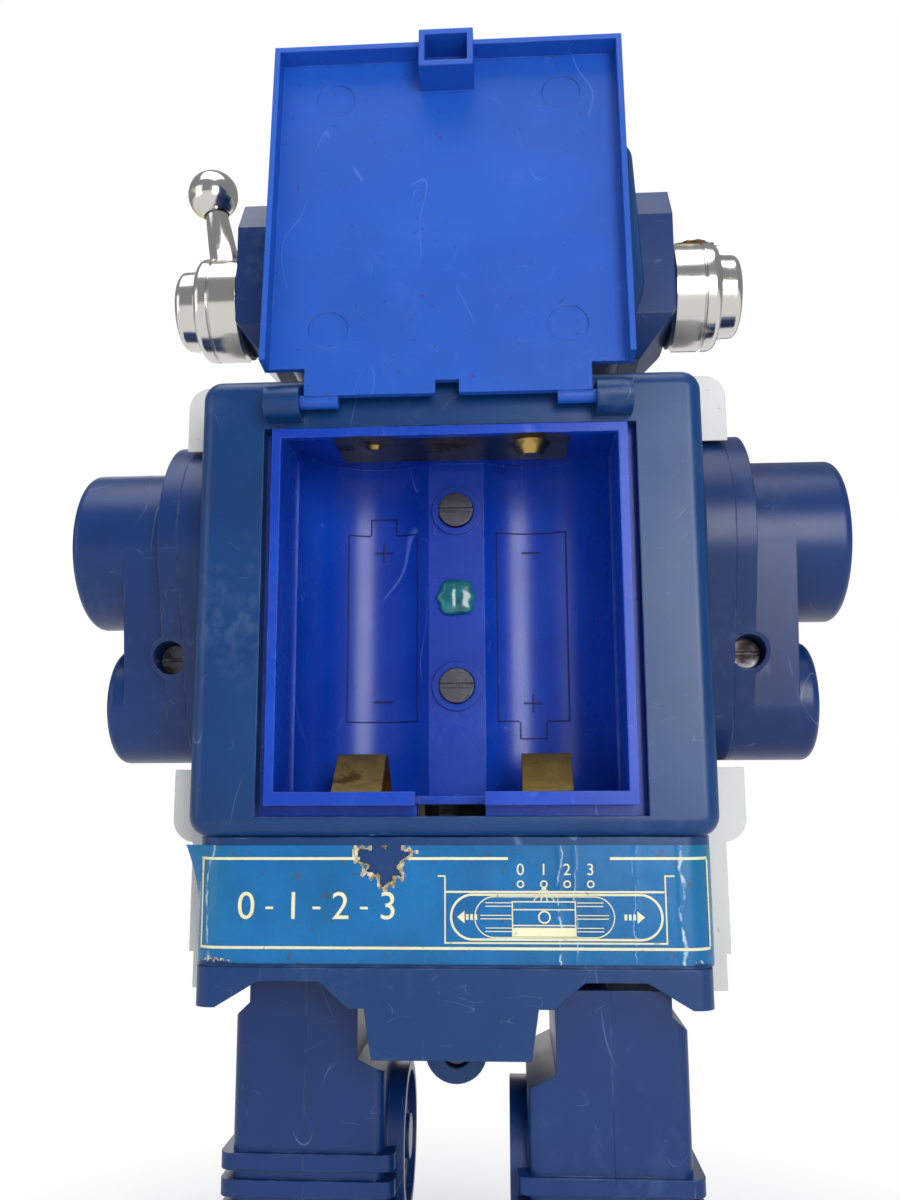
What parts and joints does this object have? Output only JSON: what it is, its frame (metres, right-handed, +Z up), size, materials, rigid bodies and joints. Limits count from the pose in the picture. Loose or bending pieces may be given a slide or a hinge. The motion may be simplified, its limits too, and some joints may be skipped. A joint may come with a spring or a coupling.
{
  "type": "battery walking toy robot with opening battery bay",
  "caption": "Humanoid battery robot with walking crank legs, geared forearm drills, shoulder hinges, a sliding switch and a hinged rear battery lid over a twin-cell bay.",
  "frame": {"origin": "centre of the bounding box's bottom face, on the plane the soles stand on", "axes": "+Z up, the robot faces -Y, its left hand is on +X, the battery bay opens to +Y"},
  "size_m": [0.1784, 0.1185, 0.3017],
  "materials": {
    "blue_shell": "glossy moulded plastic, scuffed",
    "blue_arm": "glossy moulded plastic, scuffed",
    "lid_blue": "satin moulded plastic",
    "bay_blue": "glossy moulded plastic",
    "grey_shell": "satin moulded plastic, slightly yellowed",
    "chrome_trim": "plated plastic, worn",
    "brass_contact": "tarnished spring brass",
    "screw_steel": "bright zinc plated",
    "seal_lacquer": "dark green lacquer seal",
    "label_sheet": "printed film sticker, creased",
    "dark_panel": "satin black plastic",
    "red_knob": "moulded red plastic",
    "amber_lens": "clear amber moulded lens",
    "gear_white": "natural acetal",
    "motor_can": "pressed steel can",
    "gearbox_plate": "pressed steel",
    "rubber_sole": "black moulded rubber",
    "drill_metal": "plated plastic",
    "neck_black": "matt black plastic"
  },
  "bodies": {
    "chassis": {"rear_shell": "blue_shell", "front_shell": "grey_shell", "battery_box": "bay_blue", "contact_strip": "brass_contact", "contact_leaves": "brass_contact", "divider_screws": "screw_steel", "sealed_screw": "seal_lacquer", "waist_label": "label_sheet", "chest_panel": "dark_panel", "switch_plate": "dark_panel", "hip_screw": "screw_steel", "gearbox_plates": "gearbox_plate", "gearbox_posts": "gearbox_plate", "crank_bushes": "brass_contact", "walk_motor": "motor_can", "drill_motor": "motor_can", "head_rear_shell": "blue_shell", "head_front_shell": "grey_shell", "eye_lenses": "amber_lens", "mouth_grille": "dark_panel", "ear_pads": "blue_arm", "left_ear": "chrome_trim", "right_ear": "chrome_trim", "neck_collar": "neck_black"},
    "lid": {"battery_lid": "lid_blue"},
    "knob": {"switch_knob": "red_knob"},
    "crank": {"crankshaft": "screw_steel", "crank_gear": "gear_white", "crank_discs": "gearbox_plate"},
    "reduction": {"walk_reduction_gear": "gear_white"},
    "walk_rotor": {"walk_pinion": "gear_white"},
    "drill_rotor": {"drill_pinion": "gear_white"},
    "cross": {"cross_shaft": "screw_steel", "cross_gear": "gear_white", "left_shoulder_gear": "gear_white", "right_shoulder_gear": "gear_white"},
    "left_leg": {"left_leg_outer": "blue_arm", "left_leg_inner": "blue_arm", "left_foot": "blue_arm", "left_sole": "rubber_sole"},
    "left_wheel": {"left_roller": "rubber_sole"},
    "left_arm": {"left_arm_outer": "blue_arm", "left_arm_inner": "blue_arm", "left_arm_screw": "screw_steel"},
    "left_idler": {"left_idler_gear": "gear_white"},
    "left_elbow": {"left_elbow_gear": "gear_white"},
    "left_bit": {"left_drill": "drill_metal"},
    "right_leg": {"right_leg_outer": "blue_arm", "right_leg_inner": "blue_arm", "right_foot": "blue_arm", "right_sole": "rubber_sole"},
    "right_wheel": {"right_roller": "rubber_sole"},
    "right_arm": {"right_arm_outer": "blue_arm", "right_arm_inner": "blue_arm", "right_arm_screw": "screw_steel"},
    "right_idler": {"right_idler_gear": "gear_white"},
    "right_elbow": {"right_elbow_gear": "gear_white"},
    "right_bit": {"right_drill": "drill_metal"}
  },
  "joints": [
    {"name": "lid_hinge", "type": "hinge", "parent": "chassis", "child": "lid", "pos_m": [0, 0.054, 0.216], "axis": [-1, 0, 0], "range_deg": [0, 185.5]},
    {"name": "switch_slide", "type": "slide", "parent": "chassis", "child": "knob", "axis": [1, 0, 0], "range_m": [-0.0066, 0.0132]},
    {"name": "crank_spin", "type": "hinge", "parent": "chassis", "child": "crank", "pos_m": [0, 0.0215, 0.112], "axis": [1, 0, 0], "continuous": true},
    {"name": "reduction_spin", "type": "hinge", "parent": "chassis", "child": "reduction", "pos_m": [0, 0.0045, 0.11792], "axis": [1, 0, 0], "continuous": true},
    {"name": "walk_motor_spin", "type": "hinge", "parent": "chassis", "child": "walk_rotor", "pos_m": [0, 0.0015, 0.132], "axis": [1, 0, 0], "continuous": true},
    {"name": "drill_drive_spin", "type": "hinge", "parent": "chassis", "child": "cross", "pos_m": [0, 0.012, 0.1933], "axis": [1, 0, 0], "continuous": true},
    {"name": "drill_motor_spin", "type": "hinge", "parent": "chassis", "child": "drill_rotor", "pos_m": [0.043, 0.003, 0.176], "axis": [1, 0, 0], "continuous": true},
    {"name": "left_leg_carry", "type": "hinge", "parent": "crank", "child": "left_leg", "pos_m": [0.0255, 0.016, 0.112], "axis": [1, 0, 0], "continuous": true},
    {"name": "left_wheel_spin", "type": "hinge", "parent": "left_leg", "child": "left_wheel", "pos_m": [0.03225, 0.008, 0.0092], "axis": [1, 0, 0], "continuous": true},
    {"name": "left_shoulder", "type": "hinge", "parent": "chassis", "child": "left_arm", "pos_m": [0.06, 0.012, 0.1933], "axis": [1, 0, 0], "range_deg": [-15, 75]},
    {"name": "left_idler_spin", "type": "hinge", "parent": "left_arm", "child": "left_idler", "pos_m": [0.0617, 0.012, 0.1733], "axis": [1, 0, 0], "continuous": true},
    {"name": "left_elbow_spin", "type": "hinge", "parent": "left_arm", "child": "left_elbow", "pos_m": [0.0617, 0.012, 0.1553], "axis": [1, 0, 0], "continuous": true},
    {"name": "left_drill_spin", "type": "hinge", "parent": "left_arm", "child": "left_bit", "pos_m": [0.0715, 0, 0.1553], "axis": [0, -1, 0], "continuous": true},
    {"name": "right_leg_carry", "type": "hinge", "parent": "crank", "child": "right_leg", "pos_m": [-0.0255, 0.027, 0.112], "axis": [1, 0, 0], "continuous": true},
    {"name": "right_wheel_spin", "type": "hinge", "parent": "right_leg", "child": "right_wheel", "pos_m": [-0.03225, 0.019, 0.0092], "axis": [1, 0, 0], "continuous": true},
    {"name": "right_shoulder", "type": "hinge", "parent": "chassis", "child": "right_arm", "pos_m": [-0.06, 0.012, 0.1933], "axis": [1, 0, 0], "range_deg": [-15, 75]},
    {"name": "right_idler_spin", "type": "hinge", "parent": "right_arm", "child": "right_idler", "pos_m": [-0.0617, 0.012, 0.1733], "axis": [1, 0, 0], "continuous": true},
    {"name": "right_elbow_spin", "type": "hinge", "parent": "right_arm", "child": "right_elbow", "pos_m": [-0.0617, 0.012, 0.1553], "axis": [1, 0, 0], "continuous": true},
    {"name": "right_drill_spin", "type": "hinge", "parent": "right_arm", "child": "right_bit", "pos_m": [-0.0715, 0, 0.1553], "axis": [0, -1, 0], "continuous": true}
  ],
  "couplings": [
    {"joint": "reduction_spin", "follows": "crank_spin", "ratio": -4},
    {"joint": "walk_motor_spin", "follows": "crank_spin", "ratio": 14},
    {"joint": "drill_motor_spin", "follows": "drill_drive_spin", "ratio": -3.3333},
    {"joint": "left_leg_carry", "follows": "crank_spin", "ratio": -1},
    {"joint": "left_idler_spin", "follows": "drill_drive_spin", "ratio": -1.5},
    {"joint": "left_elbow_spin", "follows": "drill_drive_spin", "ratio": 1.2},
    {"joint": "left_drill_spin", "follows": "drill_drive_spin", "ratio": 3},
    {"joint": "right_leg_carry", "follows": "crank_spin", "ratio": -1},
    {"joint": "right_idler_spin", "follows": "drill_drive_spin", "ratio": -1.5},
    {"joint": "right_elbow_spin", "follows": "drill_drive_spin", "ratio": 1.2},
    {"joint": "right_drill_spin", "follows": "drill_drive_spin", "ratio": -3}
  ]
}
